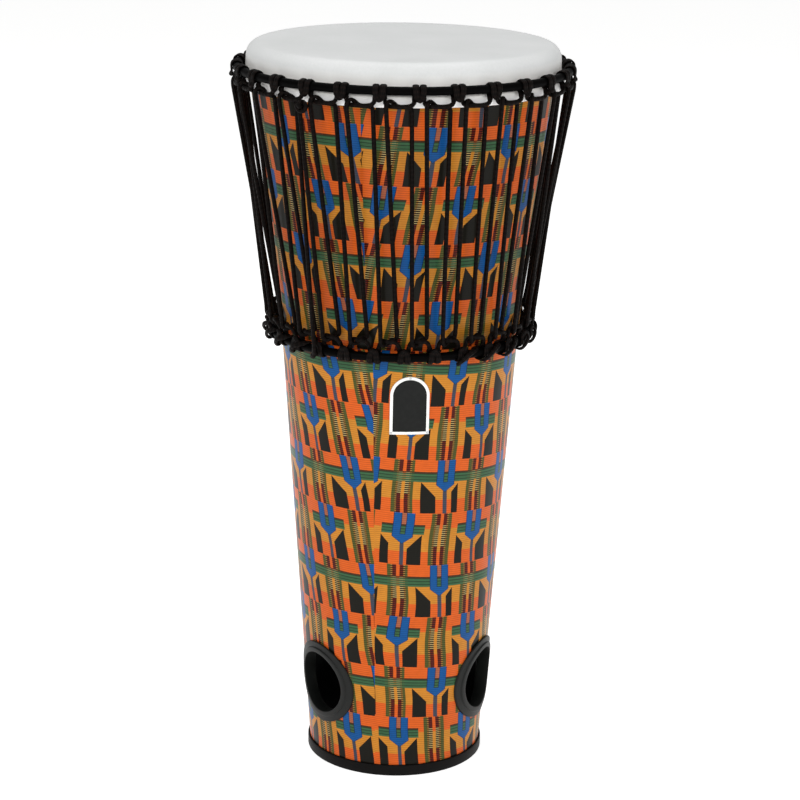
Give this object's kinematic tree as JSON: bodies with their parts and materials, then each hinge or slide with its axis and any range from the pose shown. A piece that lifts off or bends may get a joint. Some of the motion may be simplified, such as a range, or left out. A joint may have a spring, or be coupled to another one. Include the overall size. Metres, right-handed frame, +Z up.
{
  "type": "rope-tuned ashiko drum",
  "caption": "Tapered hand drum with a film head pulled tight by two steel rings and laced rope, a printed wrap, round sound ports and a rubber base ring.",
  "frame": {"origin": "on the floor under the drum's axis, at the middle of the base", "axes": "+Z up the drum's axis to the playing face, -Y to the front with the badge, +X to the drum's right in the picture"},
  "size_m": [0.336, 0.3362, 0.72],
  "materials": {
    "shell_plastic": "black moulded shell",
    "printed_film": "glossy woven-cloth print",
    "base_rubber": "satin",
    "grommet_rubber": "satin",
    "head_film": "coated film, slightly rough",
    "hoop_steel": "bare rod",
    "ring_steel": "black coated rod",
    "rope": "black braid",
    "badge_plastic": "dark field, pale raised border",
    "pin_metal": "small domed heads"
  },
  "bodies": {
    "root": {"shell": "shell_plastic", "print_wrap": "printed_film", "base_ring": "base_rubber", "right_port_grommet": "grommet_rubber", "back_port_grommet": "grommet_rubber", "left_port_grommet": "grommet_rubber", "head_film": "head_film", "flesh_hoop": "hoop_steel", "crown_ring": "ring_steel", "crown_cradle_rope": "rope", "bottom_ring": "ring_steel", "bottom_cradle_rope": "rope", "tuning_rope": "rope", "badge_plate": "badge_plastic", "badge_pins": "pin_metal"}
  },
  "joints": []
}
